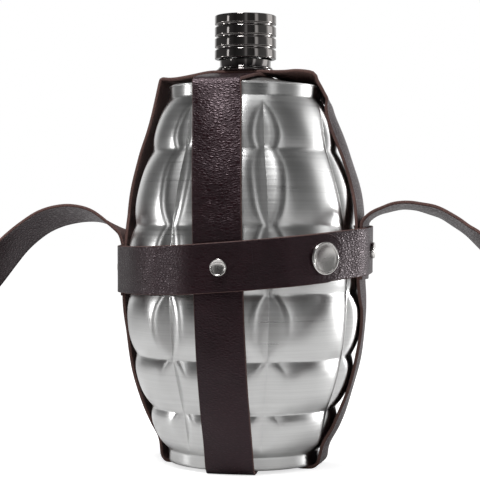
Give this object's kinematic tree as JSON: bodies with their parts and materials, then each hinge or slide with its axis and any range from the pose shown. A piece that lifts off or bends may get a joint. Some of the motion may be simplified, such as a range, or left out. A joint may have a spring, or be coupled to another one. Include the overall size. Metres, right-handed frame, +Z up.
{
  "type": "canteen",
  "caption": "Barrel-shaped steel canteen pressed into rows of swollen cells, with a ribbed screw cap and a leather harness of crossing straps, a snapped belt and a shoulder strap.",
  "frame": {"origin": "middle of the bottom of the harness, on the surface that it stands on", "axes": "+Z up along the bottle, -Y towards the strap at the front, +X towards the strap at the right"},
  "size_m": [0.3149, 0.3018, 0.2347],
  "materials": {
    "steel": "brushed round the axis",
    "gunmetal": "polished black chrome",
    "nickel": "bright nickel plate",
    "hide": "dark oxblood grain leather with brown flesh side",
    "liner": "moulded black",
    "seal": "matt"
  },
  "bodies": {
    "bottle": {"bottle_body": "steel", "shoulder_plate": "steel", "base_plate": "steel", "neck": "steel", "neck_collar": "gunmetal", "front_back_strap": "hide", "side_strap": "hide", "base_rivet_cap": "nickel", "base_rivet_post": "nickel", "belt": "hide", "belt_rivet_caps": "nickel", "belt_rivet_posts": "nickel", "snap_stud": "nickel", "snap_post": "nickel", "shoulder_strap": "hide"},
    "cap_seal": {"cap_gasket": "seal"},
    "cap": {"cap_shell": "gunmetal", "cap_liner": "liner"},
    "flap": {"belt_flap": "hide", "snap_cap": "nickel", "snap_socket": "nickel"}
  },
  "joints": [
    {"name": "cap_lift", "type": "slide", "parent": "bottle", "child": "cap_seal", "axis": [0, 0, 1], "range_m": [0, 0.009]},
    {"name": "cap_turn", "type": "hinge", "parent": "cap_seal", "child": "cap", "pos_m": [0, 0, 0.2118], "axis": [0, 0, 1], "range_deg": [0, 1080]},
    {"name": "flap_swing", "type": "hinge", "parent": "bottle", "child": "flap", "pos_m": [0.0186, -0.06355, 0.1059], "axis": [0, 0, -1], "range_deg": [0, 75]}
  ],
  "couplings": [
    {"joint": "cap_lift", "follows": "cap_turn", "m_per_rad": 0.00047746}
  ]
}
